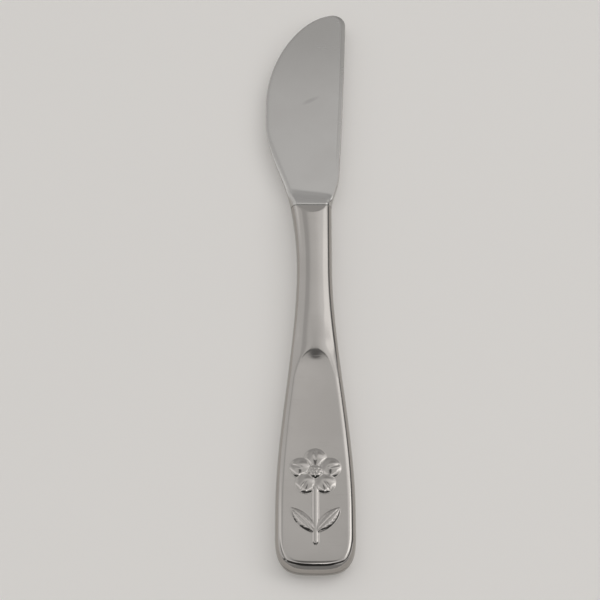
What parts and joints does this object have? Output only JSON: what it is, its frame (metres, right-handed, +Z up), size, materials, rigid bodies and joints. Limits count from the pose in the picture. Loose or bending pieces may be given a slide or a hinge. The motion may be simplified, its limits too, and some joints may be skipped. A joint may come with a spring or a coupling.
{
  "type": "butter knife",
  "caption": "Steel butter knife with a broad round-bellied blade, a slim neck and a flared hollow handle whose front panel carries a raised blossom.",
  "frame": {"origin": "On the plane that the knife lies on, on the handle's axis, under the middle of the handle's panel", "axes": "+Y runs along the handle to the tip of the blade, +X to the spine side, and +Z up through the ornament side"},
  "size_m": [0.0224, 0.1695, 0.0058],
  "materials": {
    "blade_steel": "satin",
    "handle_steel": "polished, lightly worn",
    "cement": "matte",
    "solder": "dull"
  },
  "bodies": {
    "root": {"blade": "blade_steel", "front_handle_shell": "handle_steel", "rear_handle_shell": "handle_steel", "handle_cement": "cement", "seam_solder": "solder", "mouth_solder": "solder"}
  },
  "joints": []
}
